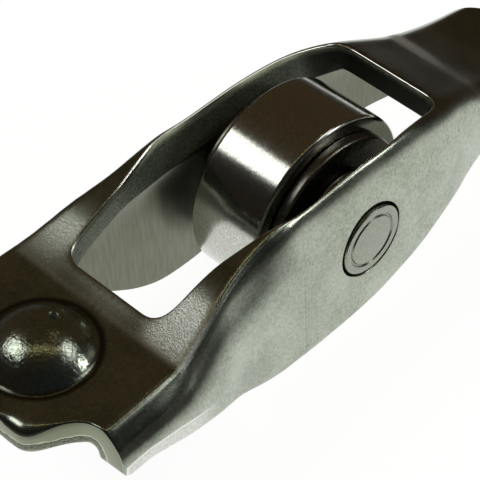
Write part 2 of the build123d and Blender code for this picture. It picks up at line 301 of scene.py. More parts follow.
def bend_run(x, face):
    """Length along the shoulder at each of BEND_STEPS, one row for each x."""
    values = [value[:, None] for value in arch(x, face)]
    y, z = bend_point(*values, BEND_STEPS[None, :])
    pieces = np.hypot(np.diff(y, axis=1), np.diff(z, axis=1))
    return np.concatenate([np.zeros((len(x), 1)), np.cumsum(pieces, axis=1)], axis=1)


def folded_point(x, across, face):
    """Half-width and height of the arch, with a sharp fold at the edge of its flat top."""
    top, flat, wall, bend, full, fold = arch(x, face)
    run = bend_run(x, face)
    total = run[:, -1]
    target = np.clip(across - flat, 0.0, total)
    index = np.clip((run < target[:, None]).sum(axis=1), 1, len(BEND_STEPS) - 1)
    rows = np.arange(len(x))
    low, high = run[rows, index - 1], run[rows, index]
    part = (target - low) / np.maximum(high - low, 1e-9)
    t = BEND_STEPS[index - 1] + part * (BEND_STEPS[index] - BEND_STEPS[index - 1])
    y, z = bend_point(top, flat, wall, bend, full, fold, t)
    below = across - flat - total
    y = np.where(across <= flat, across, y)
    z = np.where(across <= flat, top, z)
    z = np.where(below > 0.0, top - bend - below, z)
    return y, z


def plain_point(x, across, face):
    """Half-width and height of the arch at a distance across the sheet, its fold softened."""
    if face == "inner":
        return folded_point(x, across, face)
    places = [folded_point(x, across + shift * CREASE_SOFTNESS, face) for shift in CREASE_SHIFTS]
    return tuple(
        sum(weight * place[axis] for weight, place in zip(CREASE_WEIGHTS, places))
        for axis in (0, 1)
    )


def shoulder_end(x, face):
    """Distance across the sheet at which the wall begins to run straight down."""
    return arch(x, face)[1] + bend_run(x, face)[:, -1]


def across_at_height(x, z, face):
    """Distance across the sheet of the point on the straight wall at that height."""
    top, _, _, bend, _, _ = arch(x, face)
    return shoulder_end(x, face) + top - bend - z


def across_where(x, face, is_past):
    """Distance across the sheet where is_past(half-width, height) turns true."""
    low = np.zeros(len(x))
    high = np.full(len(x), ACROSS_LIMIT)
    for _ in range(HALVINGS):
        middle = (low + high) / 2
        past = is_past(*plain_point(x, middle, face))
        high = np.where(past, middle, high)
        low = np.where(past, low, middle)
    return (low + high) / 2


def foot_height(x):
    """Height of the wall's lower edge at x."""
    xs, zs = zip(*FOOT_LINE)
    return monotone(xs, zs, x)


def foot_band(x, z):
    """Distance below the foot band's top, faded along the wall, and distance into the band."""
    xs, zs = zip(*FOOT_BAND_TOP)
    below = monotone(xs, zs, np.clip(x, xs[0], xs[-1])) - z
    along = 1.0 - ramp(x, *FOOT_BAND_FADE)
    soft = (below + np.sqrt(below * below + FOOT_BAND_SOFTNESS)) / 2
    return soft * along, np.minimum(below, x - FOOT_BAND_START)


def ramp(value, start, end):
    """Smooth step from 0 at start to 1 at end."""
    t = np.clip((value - start) / (end - start), 0.0, 1.0)
    return t * t * (3 - 2 * t)


def dome_height(distance):
    """Height of the dome and its foot fillet above the plate round it."""
    rise = PLATE_TOP - DOME_Z
    reach = math.sqrt((DOME_RADIUS + DOME_FILLET) ** 2 - (rise + DOME_FILLET) ** 2)
    touch = reach * DOME_RADIUS / (DOME_RADIUS + DOME_FILLET)
    ball = DOME_Z + np.sqrt(np.maximum(DOME_RADIUS ** 2 - distance ** 2, 0.0))
    hollow = np.maximum(DOME_FILLET ** 2 - (distance - reach) ** 2, 0.0)
    fillet = PLATE_TOP + DOME_FILLET - np.sqrt(hollow)
    height = np.where(distance < touch, ball, fillet)
    return np.where(distance < reach, height, PLATE_TOP) - PLATE_TOP


def socket_height(distance):
    """Depth of the ball socket and its flared mouth above the plate's underside."""
    under = PLATE_TOP - SHEET
    ball = DOME_Z + np.sqrt(np.maximum(SOCKET_RADIUS ** 2 - distance ** 2, 0.0)) - under
    mouth_width = SOCKET_MOUTH - SOCKET_RADIUS
    cone = SOCKET_MOUTH_DEPTH * (SOCKET_MOUTH - distance) / mouth_width
    height = np.where(distance < SOCKET_RADIUS, np.maximum(ball, SOCKET_MOUTH_DEPTH), cone)
    return np.where(distance < SOCKET_MOUTH, height, 0.0)


def sheet_point(x, s, face):
    """Points of the outer or inner face; s is the signed distance across the sheet."""
    across = np.abs(s)
    y, z = plain_point(x, across, face)
    distance = np.hypot(x - DOME_X, s)
    if face == "outer":
        z = z + dome_height(distance)
        y = y - FOOT_BAND_SLOPE * foot_band(x, z)[0] * (across > arch(x, face)[1])
    else:
        z = z + socket_height(distance)
    return np.stack([x, np.sign(s) * y, z], axis=1)


# ---------------------------------------------------------------- sheet edges

def end_cut(trim, face, flat_end, wall_x):
    """Half of an end cut, from the middle line to the straight wall."""
    widths, places = zip(*trim)
    y_flat = np.linspace(0.0, flat_end, END_CUT_POINTS)
    x_flat = np.interp(y_flat, widths, places)
    bend_end = shoulder_end(np.array([wall_x]), face)[0]
    s_bend = np.linspace(flat_end, bend_end, END_CUT_POINTS)[1:]
    x_bend = np.full(len(s_bend), wall_x)
    for _ in range(END_CUT_ROUNDS):
        x_bend = np.interp(plain_point(x_bend, s_bend, face)[0], widths, places)
    return np.concatenate([x_flat, x_bend]), np.concatenate([y_flat, s_bend])


def outline_half(face):
    """Half outline of the sheet: x and distance across, from pivot end to valve end."""
    pivot_x = float(np.interp(arch(PIVOT_WALL_X, face)[2], *zip(*TONGUE_TRIM)))
    tip_x = float(np.interp(arch(TIP_WALL_X, face)[2], *zip(*TIP_TRIM)))
    tongue = end_cut(TONGUE_TRIM, face, TONGUE_FLAT, pivot_x)
    tip = end_cut(TIP_TRIM, face, TIP_FLAT, tip_x)
    pivot_top, _, _, pivot_bend, _, _ = arch(pivot_x, face)
    tip_top, _, _, tip_bend, _, _ = arch(tip_x, face)
    down_z = np.linspace(pivot_top - pivot_bend, WALL_END_HEIGHT, 14)[1:]
    down_x = np.full(len(down_z), pivot_x)
    corner_x = np.linspace(pivot_x, FOOT_LINE[0][0], 5)[1:-1]
    corner_z = np.linspace(WALL_END_HEIGHT, FOOT_LINE[0][1], 5)[1:-1]
    foot_x = np.concatenate([
        np.linspace(FOOT_LINE[0][0], TIP_BLEND_START, 160),
        np.linspace(TIP_BLEND_START, tip_x, 30)[1:],
    ])
    up_z = np.linspace(foot_height(tip_x), tip_top - tip_bend, 12)[1:-1]
    up_x = np.full(len(up_z), tip_x)
    wall_x = np.concatenate([down_x, corner_x, foot_x, up_x])
    wall_z = np.concatenate([down_z, corner_z, foot_height(foot_x), up_z])
    wall_s = across_at_height(wall_x, wall_z, face)
    x = np.concatenate([tongue[0], wall_x, tip[0][::-1]])
    s = np.concatenate([tongue[1], wall_s, tip[1][::-1]])
    return x, s


def through(points, parts=10):
    """Catmull-Rom curve through the points."""
    points = np.asarray(points, float)
    ends = np.concatenate([2 * points[:1] - points[1:2], points, 2 * points[-1:] - points[-2:-1]])
    t = np.linspace(0.0, 1.0, parts, endpoint=False)[:, None]
    pieces = []
    for a, b, c, d in zip(ends, ends[1:], ends[2:], ends[3:]):
        curl = 2 * a - 5 * b + 4 * c - d
        bend = -a + 3 * b - 3 * c + d
        pieces.append(0.5 * (2 * b + (c - a) * t + curl * t ** 2 + bend * t ** 3))
    return np.concatenate(pieces + [points[-1:]])


def window_half(face):
    """Half outline of the window on one face of the sheet."""
    ends = []
    for end_x, half_width in (RIM_LINE[0], RIM_LINE[-1]):
        widths = np.linspace(0.0, half_width, WINDOW_END_POINTS)[:-1]
        ends.append(np.stack([np.full(len(widths), end_x), widths], axis=1))
    line = np.concatenate([ends[0], through(RIM_LINE), ends[1][::-1]])
    x, width = line[:, 0], line[:, 1]
    lean = np.interp(x, LEAN_X, LEAN)
    lowest = -math.inf
    if face == "inner":
        x = x - VALVE_END_UNDERCUT * ramp(x, *UNDERCUT_RUN)
        top_s = across_where(x, "outer", lambda y, z: y > width + lean * (z - RIM_HEIGHT))
        lowest = plain_point(x, top_s, "outer")[1] - RIM_THICK
    s = across_where(x, face, lambda y, z: (y > width + lean * (z - RIM_HEIGHT)) | (z < lowest))
    return x, np.where(width < 0.01, 0.0, s)


def mirrored_loop(x, s):
    """The closed loop of a half outline and its mirror image."""
    near = np.stack([x, -s], axis=1)
    far = np.stack([x, s], axis=1)[::-1]
    return np.concatenate([near, far[1:-1]])


def even_pair(outer, inner, step, rounds):
    """Both loops resampled together at an even step on the outer one, corners softened."""
    closed_outer = np.concatenate([outer, outer[:1]])
    closed_inner = np.concatenate([inner, inner[:1]])
    lengths = np.hypot(*np.diff(closed_outer, axis=0).T)
    run = np.concatenate([[0.0], np.cumsum(lengths)])
    count = int(round(run[-1] / step))
    places = np.interp(np.arange(count) * run[-1] / count, run, np.arange(len(run)))
    pair = []
    for loop in (closed_outer, closed_inner):
        index = np.arange(len(loop))
        even = np.stack([np.interp(places, index, loop[:, k]) for k in (0, 1)], axis=1)
        for _ in range(rounds):
            even = (np.roll(even, 1, axis=0) + 2 * even + np.roll(even, -1, axis=0)) / 4
        pair.append(even)
    return pair


def signed_area(loop):
    """Area of a closed loop, above zero where it runs anticlockwise."""
    x, y = loop.T
    return 0.5 * np.sum(x * np.roll(y, -1) - np.roll(x, -1) * y)


def pin_hole(face, side, radius):
    """Loop of the pin hole on one wall."""
    angles = np.linspace(0.0, 2 * math.pi, PIN_HOLE_POINTS, endpoint=False)
    x = radius * np.cos(angles)
    height = radius * np.sin(angles)
    s = across_where(x, face, lambda y, z: z < height)
    return np.stack([x, side * s], axis=1)


def oil_hole(ball_radius):
    """Loop where the tilted oil hole leaves a ball of that radius."""
    angles = np.linspace(0.0, 2 * math.pi, OIL_HOLE_POINTS, endpoint=False)
    along = math.sqrt(ball_radius ** 2 - OIL_RADIUS ** 2)
    x = DOME_X + along * math.sin(OIL_TILT) + OIL_RADIUS * np.cos(angles) * math.cos(OIL_TILT)
    return np.stack([x, OIL_RADIUS * np.sin(angles)], axis=1)


def turned_round(pair, ccw):
    """Both loops turned so that the sheet lies on their left."""
    if (signed_area(pair[0]) > 0) != ccw:
        return [loop[::-1].copy() for loop in pair]
    return pair


def inset(loop, widths):
    """The loop moved into the sheet by the widths, less where it would fold over."""
    ahead = np.roll(loop, -1, axis=0) - np.roll(loop, 1, axis=0)
    ahead /= np.linalg.norm(ahead, axis=1)[:, None]
    into = np.stack([-ahead[:, 1], ahead[:, 0]], axis=1)
    widths = widths.copy()
    step = np.roll(loop, -1, axis=0) - loop
    for _ in range(INSET_ROUNDS):
        moved = loop + into * widths[:, None]
        new_step = np.roll(moved, -1, axis=0) - moved
        folded = (step * new_step).sum(axis=1) < SHORTEST_STEP * (step * step).sum(axis=1)
        if not folded.any():
            break
        near = folded | np.roll(folded, 1)
        near = near | np.roll(near, 1) | np.roll(near, -1)
        widths = np.where(near, widths * INSET_SHRINK, widths)
    return loop + into * widths[:, None]


def inside(points, loop):
    """Which points lie inside the closed loop."""
    result = np.zeros(len(points), bool)
    x, y = points.T
    for (x0, y0), (x1, y1) in zip(loop, np.roll(loop, -1, axis=0)):
        if y0 == y1:
            continue
        crosses = (y0 > y) != (y1 > y)
        result ^= crosses & (x < (x1 - x0) * (y - y0) / (y1 - y0) + x0)
    return result


def on_sheet(points, loops):
    """Which points lie inside the outline and outside every opening."""
    result = inside(points, loops[0])
    for loop in loops[1:]:
        result &= ~inside(points, loop)
    return result


def face_points(edge_points, loops):
    """Mesh points within one face: an even grid and rings round the dome, clear of the edges."""
    xs = np.arange(*GRID_X, GRID)
    rows = np.arange(*GRID_ACROSS, GRID * math.sqrt(3) / 2)
    grid = np.array([
        (x + (GRID / 2 if k % 2 else 0.0), s) for k, s in enumerate(rows) for x in xs
    ])
    distance = np.hypot(grid[:, 0] - DOME_X, grid[:, 1])
    rings = [np.zeros((1, 2))]
    for radius in DOME_RINGS:
        count = int(max(FEWEST_RING_POINTS, round(2 * math.pi * radius / DOME_RING_STEP)))
        angles = np.linspace(0.0, 2 * math.pi, count, endpoint=False) + radius
        rings.append(np.stack([radius * np.cos(angles), radius * np.sin(angles)], axis=1))
    rings = np.concatenate(rings) + np.array([DOME_X, 0.0])
    grid = np.concatenate([grid[distance > DOME_REACH + GRID / 2], rings])
    grid = grid[on_sheet(grid, loops)]
    tree = KDTree(len(edge_points))
    for k, (x, s) in enumerate(edge_points):
        tree.insert((x, s, 0.0), k)
    tree.balance()
    clear = [tree.find((x, s, 0.0))[2] > 0.5 * GRID for x, s in grid]
    return grid[np.array(clear)]


def sheet_face(loops, face):
    """Vertices, triangles and loops of one face of the sheet between its inset loops."""
    edge_points = np.concatenate(loops)
    points = np.concatenate([edge_points, face_points(edge_points, loops)])
    edges, spans, first = [], [], 0
    for loop in loops:
        count = len(loop)
        edges += [(first + k, first + (k + 1) % count) for k in range(count)]
        spans.append(range(first, first + count))
        first += count
    flat_points = [Vector((float(x), float(s))) for x, s in points]
    found, _, triangles, origins, _, _ = delaunay_2d_cdt(flat_points, edges, [], 0, 1e-7)
    places = np.array([(v.x, v.y) for v in found])
    new_index = {source: k for k, sources in enumerate(origins) for source in sources}
    triangles = np.array(triangles)
    triangles = triangles[on_sheet(places[triangles].mean(axis=1), loops)]
    loop_index = [np.array([new_index[k] for k in span]) for span in spans]
    return sheet_point(places[:, 0], places[:, 1], face), triangles, loop_index


def strip(upper, lower):
    """Quads between two rings of vertex numbers, facing away from the sheet."""
    return np.stack([upper, lower, np.roll(lower, -1), np.roll(upper, -1)], axis=1)


def edge_roll(number, loop):
    """How far the rounded outer edge reaches into the face at each point of a loop."""
    if number != OUTLINE:
        return np.full(len(loop), WINDOW_ROLL if number == WINDOW else HOLE_ROLL)
    x, s = loop.T
    across = np.abs(s)
    at_end = 1.0 - ramp(x, *END_FACE)
    tongue = ramp(across, *TONGUE_ROLL_RISE) * (1.0 - ramp(across, *TONGUE_ROLL_FALL)) * at_end
    corner = ramp(across, *CORNER_RISE) * at_end
    return DIE_ROLL + TONGUE_ROLL * tongue - CORNER_ROLL * corner


def cut_shade(number, place, kind):
    """How much painted shade darkens the cut face: none on the outline, full at the valve end."""
    if number == OUTLINE or kind == 0:
        return np.zeros(len(place))
    if number == WINDOW:
        valve_end = ramp(place[:, 0], *VALVE_END_RISE)
        pivot_end = 1.0 - ramp(place[:, 0], *PIVOT_END_FALL)
        return np.maximum(valve_end, WINDOW_SHADE + PIVOT_END_SHADE * pivot_end)
    return np.full(len(place), OIL_HOLE_SHADE if number == OIL_HOLE else PIN_HOLE_SHADE)


def edge_rings(top_edge, low_edge, into_top, into_low):
    """Rings down one edge: points, share of the depth, and 0 for skin or 1 for a cut."""
    through_cut = low_edge - top_edge
    thick = np.linalg.norm(through_cut, axis=1)[:, None]
    through_cut = through_cut / thick
    roll_width = np.linalg.norm(into_top, axis=1)[:, None]
    roll_depth = np.minimum(roll_width * ROLL_DEPTH, ROLL_DEPTH_LIMIT * thick)
    turns = [0.5 * math.pi * k / EDGE_RINGS for k in range(1, EDGE_RINGS + 1)]
    rings = []
    for turn in turns:
        down = roll_depth * (1 - math.cos(turn))
        place = top_edge + into_top * (1 - math.sin(turn)) + through_cut * down
        rings.append((place, down / thick, 0))
    for k in range(1, CUT_RINGS):
        down = roll_depth + (thick - BURR_ROUND - roll_depth) * (k / CUT_RINGS)
        rings.append((top_edge + through_cut * down, down / thick, 1))
    for turn in turns[::-1]:
        up = BURR_ROUND * (1 - math.cos(turn))
        place = low_edge + into_low * (1 - math.sin(turn)) - through_cut * up
        rings.append((place, 1 - up / thick, int(turn == turns[-1])))
    return rings


def edge_pairs():
    """Outer and inner loop of each edge of the sheet, with the sheet on their left."""
    outline, window = (
        [mirrored_loop(*half(face)) for face in ("outer", "inner")]
        for half in (outline_half, window_half)
    )
    pin_holes = [
        [pin_hole("outer", side, PIN_HOLE_MOUTH), pin_hole("inner", side, PIN_RADIUS)]
        for side in (1.0, -1.0)
    ]
    openings = [even_pair(*window, LOOP_STEP, WINDOW_ROUNDS), *pin_holes,
                [oil_hole(DOME_RADIUS), oil_hole(SOCKET_RADIUS)]]
    outer_edge = turned_round(even_pair(*outline, LOOP_STEP, OUTLINE_ROUNDS), True)
    return [outer_edge] + [turned_round(pair, False) for pair in openings]


def arm_mesh():
    """The stamped arm: vertices, faces, material numbers and point values."""
    pairs = edge_pairs()
    outer_insets = [inset(outer, edge_roll(k, outer)) for k, (outer, _) in enumerate(pairs)]
    inner_insets = [inset(inner, np.full(len(inner), BURR_ROUND)) for _, inner in pairs]
    outer_points, outer_faces, outer_rings = sheet_face(outer_insets, "outer")
    inner_points, inner_faces, inner_rings = sheet_face(inner_insets, "inner")
    inner_x, inner_y, _ = inner_points.T
    # painted shade on the inner face under the bridge at the valve end of the window
    under_bridge = ramp(inner_x, *BRIDGE_RISE) * (1.0 - ramp(inner_x, *BRIDGE_FALL))
    shift = len(outer_points)
    points = [outer_points, inner_points]
    depth = [np.zeros(shift), np.ones(len(inner_points))]
    shade = [np.zeros(shift), under_bridge * (np.abs(inner_y) < BRIDGE_HALF_WIDTH)]
    rim = [np.zeros(shift), np.zeros(len(inner_points))]
    faces = [outer_faces, inner_faces[:, ::-1] + shift]
    kinds = [np.zeros(len(outer_faces)), np.zeros(len(inner_faces))]
    total = shift + len(inner_points)
    for number, (outer, inner) in enumerate(pairs):
        top_edge = sheet_point(outer[:, 0], outer[:, 1], "outer")
        low_edge = sheet_point(inner[:, 0], inner[:, 1], "inner")
        into_top = outer_points[outer_rings[number]] - top_edge
        into_low = inner_points[inner_rings[number]] - low_edge
        upper = outer_rings[number]
        rings = edge_rings(top_edge, low_edge, into_top, into_low)
        for ring, (place, share, kind) in enumerate(rings):
            lower = total + np.arange(len(place))
            points.append(place)
            depth.append(share[:, 0])
            shade.append(cut_shade(number, place, kind))
            # painted highlight along the window's rounded edge
            rim.append(np.full(len(place), float(number == WINDOW and ring in HIGHLIGHT_RINGS)))
            faces.append(strip(upper, lower))
            kinds.append(np.full(len(place), kind))
            total += len(place)
            upper = lower
        faces.append(strip(upper, inner_rings[number] + shift))
        kinds.append(np.zeros(len(upper)))
    all_faces = [tuple(int(i) for i in face) for block in faces for face in block]
    values = [np.concatenate(value) for value in (depth, shade, rim)]
    return np.concatenate(points), all_faces, np.concatenate(kinds).astype(int), values


def make_object(name, points, faces, materials, kinds=None):
    """A smooth shaded mesh object from points in millimetres."""
    mesh = bpy.data.meshes.new(name)
    mesh.from_pydata([tuple(p) for p in np.asarray(points) * MM], [], faces)
    for material in materials:
        mesh.materials.append(material)
    if kinds is not None:
        mesh.polygons.foreach_set("material_index", kinds)
    mesh.polygons.foreach_set("use_smooth", [True] * len(mesh.polygons))
    mesh.update()
    item = bpy.data.objects.new(name, mesh)
    scene.collection.objects.link(item)
    return item


def point_value(item, name, values):
    """Stores one number for each point of the mesh under that name."""
    layer = item.data.attributes.new(name, "FLOAT", "POINT")
    layer.data.foreach_set("value", np.asarray(values, dtype=np.float32))


# ---------------------------------------------------------------- turned pieces

PROFILE_STEPS = 5


def rounded_profile(corners):
    """Profile of a turned piece: each corner is (along, radius, rounding)."""
    line = []
    count = len(corners)
    for k, (along, radius, rounding) in enumerate(corners):
        here = Vector((along, radius))
        if rounding <= 0.0:
            line.append(here)
            continue
        before = (Vector(corners[k - 1][:2]) - here).normalized()
        after = (Vector(corners[(k + 1) % count][:2]) - here).normalized()
        half = before.angle(after) / 2
        reach = rounding / math.tan(half)
        centre = here + (before + after).normalized() * (rounding / math.sin(half))
        start = here + before * reach - centre
        end = here + after * reach - centre
        for step in range(PROFILE_STEPS + 1):
            spoke = start.lerp(end, step / PROFILE_STEPS).normalized() * rounding
            line.append(centre + spoke)
    return np.array([(p.x, p.y) for p in line])


def turned(name, profile, segments, material):
    """A closed profile (along Y, radius) spun about the pin axis; radius 0 makes a pole."""
    points, faces, rings = [], [], []
    for along, radius in profile:
        if radius < 1e-6:
            rings.append([len(points)] * segments)
            points.append((0.0, along, 0.0))
            continue
        rings.append(range(len(points), len(points) + segments))
        for k in range(segments):
            angle = 2 * math.pi * k / segments
            points.append((radius * math.sin(angle), along, radius * math.cos(angle)))
    for upper, lower in zip(rings, rings[1:] + rings[:1]):
        if upper[0] == upper[1] and lower[0] == lower[1]:
            continue
        for k in range(segments):
            n = (k + 1) % segments
            faces.append(tuple(dict.fromkeys((upper[k], lower[k], lower[n], upper[n]))))
    return make_object(name, points, faces, [material])


# ---------------------------------------------------------------- shader nodes

FLOAT = "NodeSocketFloat"


def fill_inputs(tree, node, values):
    """Links each named input to a socket, or sets it to a number or a colour."""
    for place, value in values.items():
        if isinstance(value, bpy.types.NodeSocket):
            tree.links.new(value, node.inputs[place])
        else:
            node.inputs[place].default_value = value
    return node


def add_node(tree, kind, values):
    """A new node with its inputs filled."""
    return fill_inputs(tree, tree.nodes.new(kind), values)


def object_coords(tree):
    """The piece's own coordinates."""
    return tree.nodes.new("ShaderNodeTexCoord").outputs["Object"]


def axes_of(tree, vector):
    """The X, Y and Z outputs of a vector."""
    return add_node(tree, "ShaderNodeSeparateXYZ", {"Vector": vector}).outputs


def math_node(tree, operation, *values):
    """One math node; numbers are set, sockets are linked. Returns its output."""
    node = add_node(tree, "ShaderNodeMath", dict(enumerate(values)))
    node.operation = operation
    return node.outputs[0]


def noise_node(tree, vector, scale, detail, roughness):
    """Noise from 0 to 1; scale is in cells per metre."""
    values = {"Vector": vector, "Scale": scale, "Detail": detail, "Roughness": roughness}
    return add_node(tree, "ShaderNodeTexNoise", values).outputs["Fac"]


def colour_ramp(tree, factor, stops):
    """A colour ramp with the stops (place, colour)."""
    node = add_node(tree, "ShaderNodeValToRGB", {"Fac": factor})
    while len(node.color_ramp.elements) < len(stops):
        node.color_ramp.elements.new(0.5)
    for element, (place, colour) in zip(node.color_ramp.elements, stops):
        element.position = place
        element.color = (*colour, 1.0)
    return node.outputs["Color"]


def value_range(tree, value, low, high, new_low, new_high):
    """A value carried from one range to another, clamped."""
    values = {"Value": value, "From Min": low, "From Max": high,
              "To Min": new_low, "To Max": new_high}
    return add_node(tree, "ShaderNodeMapRange", values).outputs["Result"]


def attribute(tree, name):
    """The number that each point of the mesh carries under that name."""
    node = tree.nodes.new("ShaderNodeAttribute")
    node.attribute_name = name
    return node.outputs["Fac"]


def colour_mix(tree, factor, first, second):
    """Two colours mixed by a factor; a colour is a socket or three numbers."""
    node = tree.nodes.new("ShaderNodeMix")
    node.data_type = "RGBA"
    node.clamp_factor = True
    tree.links.new(factor, node.inputs[0])
    sockets = {socket.name: socket for socket in node.inputs if socket.type == "RGBA"}
    for label, colour in (("A", first), ("B", second)):
        if isinstance(colour, tuple):
            sockets[label].default_value = (*colour, 1.0)
        else:
            tree.links.new(colour, sockets[label])
    return [socket for socket in node.outputs if socket.type == "RGBA"][0]


def bump_node(tree, height, distance):
    """The normal of a bump whose height of 1 is that distance in metres."""
    values = {"Strength": 1.0, "Distance": distance, "Height": height}
    return add_node(tree, "ShaderNodeBump", values).outputs["Normal"]


def new_group(name, defaults, outputs):
    """An empty shader group whose inputs and outputs are all numbers."""
    group = bpy.data.node_groups.new(name, "ShaderNodeTree")
    for label, value in defaults.items():
        socket = group.interface.new_socket(name=label, in_out="INPUT", socket_type=FLOAT)
        socket.default_value = value
    for label in outputs:
        group.interface.new_socket(name=label, in_out="OUTPUT", socket_type=FLOAT)
    return group, group.nodes.new("NodeGroupInput").outputs, group.nodes.new("NodeGroupOutput")


def place_group(tree, group, **values):
    """One use of a group in a material, with its own values. Returns its outputs."""
    node = tree.nodes.new("ShaderNodeGroup")
    node.node_tree = group
    return fill_inputs(tree, node, values).outputs


# ---------------------------------------------------------------- shared finishes

def steel_grain_group():
    """Fine satin grain: a height, a mottle from 0 to 1 and a soft large cloud."""
    group, given, out = new_group(
        "steel_grain", {"Fine": 9000.0, "Cloud": 260.0, "Height": 1.0},
        ("Height", "Mottle", "Cloud"),
    )
    coords = object_coords(group)
    fine = noise_node(group, coords, given["Fine"], 3.0, 0.6)
    cloud = noise_node(group, coords, given["Cloud"], 3.0, 0.55)
    height = math_node(group, "MULTIPLY", fine, given["Height"])
    fill_inputs(group, out, {"Height": height, "Mottle": fine, "Cloud": cloud})
    return group


def coarse_grain_group():
    """Coarse crystalline speckle of drawn sheet: height and a speckle mask."""
    group, given, out = new_group(
        "coarse_grain", {"Size": 3200.0, "Zone": 0.0}, ("Height", "Speckle"),
    )
    grain = noise_node(group, object_coords(group), given["Size"], 2.0, 0.65)
    centred = math_node(group, "SUBTRACT", grain, 0.5)
    zoned = math_node(group, "MULTIPLY", centred, given["Zone"])
    speckle = math_node(group, "MULTIPLY_ADD", zoned, 1.6, 0.5)
    fill_inputs(group, out, {"Height": zoned, "Speckle": speckle})
    return group


def brushed_group():
    """Fine lines that run up and down the object: a height and a tone from 0 to 1."""
    group, given, out = new_group(
        "brushed_lines", {"Across": 5000.0, "Along": 300.0}, ("Height", "Tone"),
    )
    scale = add_node(group, "ShaderNodeCombineXYZ", {
        "X": given["Across"], "Y": given["Along"], "Z": given["Along"],
    })
    stretch = add_node(group, "ShaderNodeVectorMath", {
        0: object_coords(group), 1: scale.outputs["Vector"],
    })
    stretch.operation = "MULTIPLY"
    lines = noise_node(group, stretch.outputs["Vector"], 1.0, 2.0, 0.6)
    height = math_node(group, "SUBTRACT", lines, 0.5)
    fill_inputs(group, out, {"Height": height, "Tone": lines})
    return group


MARK_WIDTH = 0.16 * MM
SECOND_MARK_SHARE = 0.5


def die_marks_group():
    """Two upright die marks on the near wall: a groove height below zero."""
    group, given, out = new_group(
        "die_marks", {"First": -7.75 * MM, "Second": -6.3 * MM, "Width": MARK_WIDTH},
        ("Height",),
    )
    axes = axes_of(group, object_coords(group))
    near_side = value_range(group, axes["Y"], -8.1 * MM, -7.9 * MM, 1.0, 0.0)
    low = value_range(group, axes["Z"], 0.0, 2.4 * MM, 1.0, 0.0)
    marks = []
    for label in ("First", "Second"):
        away = math_node(group, "SUBTRACT", axes["X"], given[label])
        share = math_node(group, "DIVIDE", math_node(group, "ABSOLUTE", away), given["Width"])
        marks.append(value_range(group, share, 0.0, 1.0, -1.0, 0.0))
    both = math_node(group, "MULTIPLY_ADD", marks[1], -SECOND_MARK_SHARE, marks[0])
    both = math_node(group, "MULTIPLY", both, near_side)
    fill_inputs(group, out, {"Height": math_node(group, "MULTIPLY", both, low)})
    return group


STEEL_GRAIN = steel_grain_group()
COARSE_GRAIN = coarse_grain_group()
BRUSHED = brushed_group()
DIE_MARKS = die_marks_group()

# ---------------------------------------------------------------- materials

# colour of the painted shade on the cuts, in the holes and under the bridge
PAINTED_SHADE_BLACK = (0.035, 0.035, 0.028)
TORN_BLACK = (0.05, 0.05, 0.04)
# colour of the painted shade on the roof towards the valve end
PAINTED_ROOF_SHADE_BROWN = (0.10, 0.095, 0.075)
MARK_DARK = (0.12, 0.13, 0.10)
# colour of the painted shade in the groove round the dome's foot
PAINTED_GROOVE_SHADE_DARK = (0.08, 0.08, 0.06)
BORDER_BRIGHT = (0.95, 0.96, 0.92)
# colour of the painted highlight along the window's rounded edge
PAINTED_RIM_HIGHLIGHT_BRIGHT = (0.92, 0.93, 0.88)
# colour of the painted highlight on the roof crease and the fold at the pivot end
PAINTED_CREASE_HIGHLIGHT_BRIGHT = (0.66, 0.67, 0.60)

SKIN_STOPS = [(0.38, (0.262, 0.298, 0.232)), (0.62, (0.458, 0.495, 0.410))]
INNER_STOPS = [(0.30, (0.152, 0.160, 0.117)), (0.70, (0.200, 0.210, 0.158))]
DRAWN_STOPS = [(0.25, (0.55, 0.595, 0.52)), (0.75, (0.93, 0.96, 0.89))]
FOOT_STOPS = [(0.38, (0.58, 0.60, 0.54)), (0.60, (0.86, 0.88, 0.82))]
TORN_STOPS = [(0.35, (0.165, 0.190, 0.135)), (0.62, (0.315, 0.350, 0.260))]
CUT_LAYERS = [
    (0.30, (0.235, 0.260, 0.180)),
    (0.62, (0.275, 0.300, 0.212)),
    (0.66, (0.60, 0.63, 0.50)),
    (0.71, (0.31, 0.335, 0.250)),
    (0.88, (0.27, 0.295, 0.218)),
    (0.97, (0.50, 0.53, 0.42)),
]


def new_steel(name):
    """A metal material with its tree and its shader."""
    material = bpy.data.materials.new(name)
    material.use_nodes = True
    tree = material.node_tree
    shader = fill_inputs(tree, tree.nodes["Principled BSDF"], {"Metallic": 1.0})
    return material, tree, shader


def tone_of_skin(tree, grain):
    """Fine mottle, a soft cloud and larger flecks in one tone."""
    flecks = place_group(tree, COARSE_GRAIN, Size=3400.0, Zone=1.0)
    cloud = math_node(tree, "MULTIPLY", grain["Cloud"], 0.40)
    tone = math_node(tree, "MULTIPLY_ADD", grain["Mottle"], 0.30, cloud)
    return math_node(tree, "MULTIPLY_ADD", flecks["Speckle"], 0.30, tone)


def foot_band_masks(tree):
    """The pressed band at the foot of the wall and the bright line along its top."""
    below = attribute(tree, "foot_below")
    share = attribute(tree, "foot_share")
    band = math_node(tree, "MULTIPLY", value_range(tree, below, -0.04, 0.08, 0.0, 1.0), share)
    border_away = math_node(tree, "ABSOLUTE", math_node(tree, "SUBTRACT", below, 0.06))
    border = value_range(tree, border_away, 0.04, 0.16, 1.0, 0.0)
    return band, math_node(tree, "MULTIPLY", border, math_node(tree, "MULTIPLY", share, 0.85))


